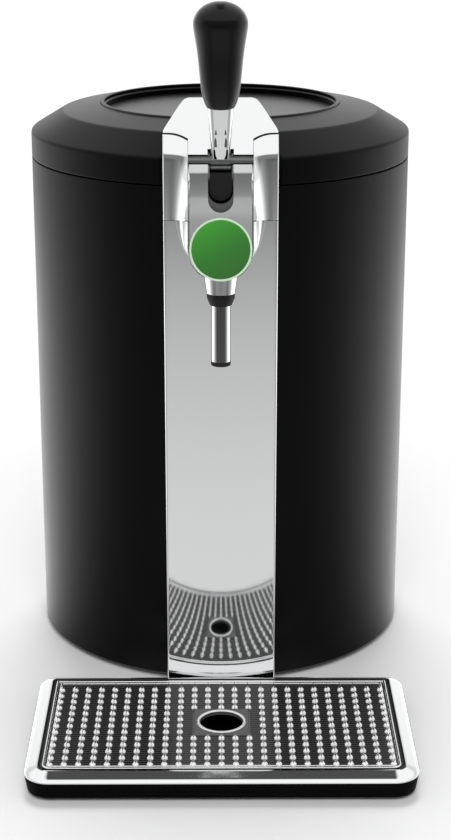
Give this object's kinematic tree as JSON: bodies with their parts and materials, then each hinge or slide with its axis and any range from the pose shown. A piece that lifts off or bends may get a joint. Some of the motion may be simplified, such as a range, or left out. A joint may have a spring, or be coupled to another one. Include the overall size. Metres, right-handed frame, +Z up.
{
  "type": "mini keg beer dispenser",
  "caption": "Cooled countertop barrel for a small beer keg, with a front lever tap, a hinged lid and a pull-off drip tray.",
  "frame": {"origin": "under the middle of the bounding box, on the surface that the feet stand on", "axes": "+Z up, -Y the front with the tap and the drip tray, +X to the right of someone who faces the rear"},
  "size_m": [0.266, 0.4654, 0.4695],
  "materials": {
    "black_satin": "satin black",
    "black_gloss": "polished black",
    "black_plastic": "fine textured black",
    "grey_plastic": "matt grey",
    "rubber_black": "matt",
    "silicone": "milky",
    "foam": "open foam skin",
    "ceramic": "matt white",
    "board_green": "coated board",
    "badge_green": "glossy green",
    "aluminium": "plain",
    "chrome": "mirror chrome",
    "polished_steel": "polished sheet",
    "satin_steel": "satin",
    "dark_steel": "dark"
  },
  "bodies": {
    "body": {"foot_front_left": "rubber_black", "foot_front_right": "rubber_black", "foot_rear_left": "rubber_black", "foot_rear_right": "rubber_black", "barrel_shell": "black_satin", "base_plate": "black_plastic", "keg_well": "aluminium", "insulation_jacket": "foam", "well_collar": "black_plastic", "column_chassis": "black_plastic", "column_panel": "polished_steel", "tap_housing": "chrome", "badge_boss": "chrome", "tap_face": "satin_steel", "badge_disc": "badge_green", "badge_bezel": "chrome", "spout_collar": "chrome", "spout_ring": "black_plastic", "spout_tube": "chrome", "spout_tip": "rubber_black", "beer_line": "silicone", "line_nozzle": "grey_plastic", "pinch_block": "black_plastic", "pivot_pin": "dark_steel", "hinge_bracket": "black_plastic", "hinge_pin": "dark_steel", "cold_block": "aluminium", "peltier_module": "ceramic", "heat_sink": "aluminium", "fan_frame": "black_plastic", "rear_housing": "black_plastic", "vent_grille": "black_plastic", "power_inlet": "black_plastic", "switch_bezel": "black_plastic", "power_supply": "grey_plastic", "control_board": "board_green"},
    "lid": {"lid_shell": "black_satin", "lid_ring": "black_gloss", "lid_disc": "black_satin", "lid_liner": "black_plastic", "lid_insulation": "foam", "lid_gasket": "rubber_black", "lid_nose": "chrome", "lid_hinge_arm": "black_plastic"},
    "lever": {"lever_stem": "chrome", "lever_grip": "black_gloss"},
    "pinch": {"pinch_plunger": "grey_plastic"},
    "fan": {"fan_rotor": "black_plastic"},
    "switch": {"switch_rocker": "black_gloss"},
    "tray": {"tray_base": "black_plastic", "tray_rim": "chrome"},
    "grille": {"drip_grille": "polished_steel"}
  },
  "joints": [
    {"name": "lid_hinge", "type": "hinge", "parent": "body", "child": "lid", "pos_m": [0, 0.20995, 0.352], "axis": [-1, 0, 0], "range_deg": [0, 95]},
    {"name": "lever_pivot", "type": "hinge", "parent": "body", "child": "lever", "pos_m": [0, -0.08105, 0.3704], "axis": [1, 0, 0], "range_deg": [0, 35]},
    {"name": "pinch_slide", "type": "slide", "parent": "body", "child": "pinch", "axis": [0, 0, 1], "range_m": [0, 0.004]},
    {"name": "fan_spin", "type": "hinge", "parent": "body", "child": "fan", "pos_m": [0, 0.20235, 0.17], "axis": [0, 1, 0], "continuous": true},
    {"name": "switch_rock", "type": "hinge", "parent": "body", "child": "switch", "pos_m": [0.032, 0.22755, 0.044], "axis": [1, 0, 0], "range_deg": [0, 16]},
    {"name": "tray_slide", "type": "slide", "parent": "body", "child": "tray", "axis": [0, -1, 0], "range_m": [0, 0.17]},
    {"name": "grille_lift", "type": "slide", "parent": "tray", "child": "grille", "axis": [0, 0, 1], "range_m": [0, 0.06]}
  ],
  "couplings": [
    {"joint": "pinch_slide", "follows": "lever_pivot", "m_per_rad": 0.0065}
  ]
}
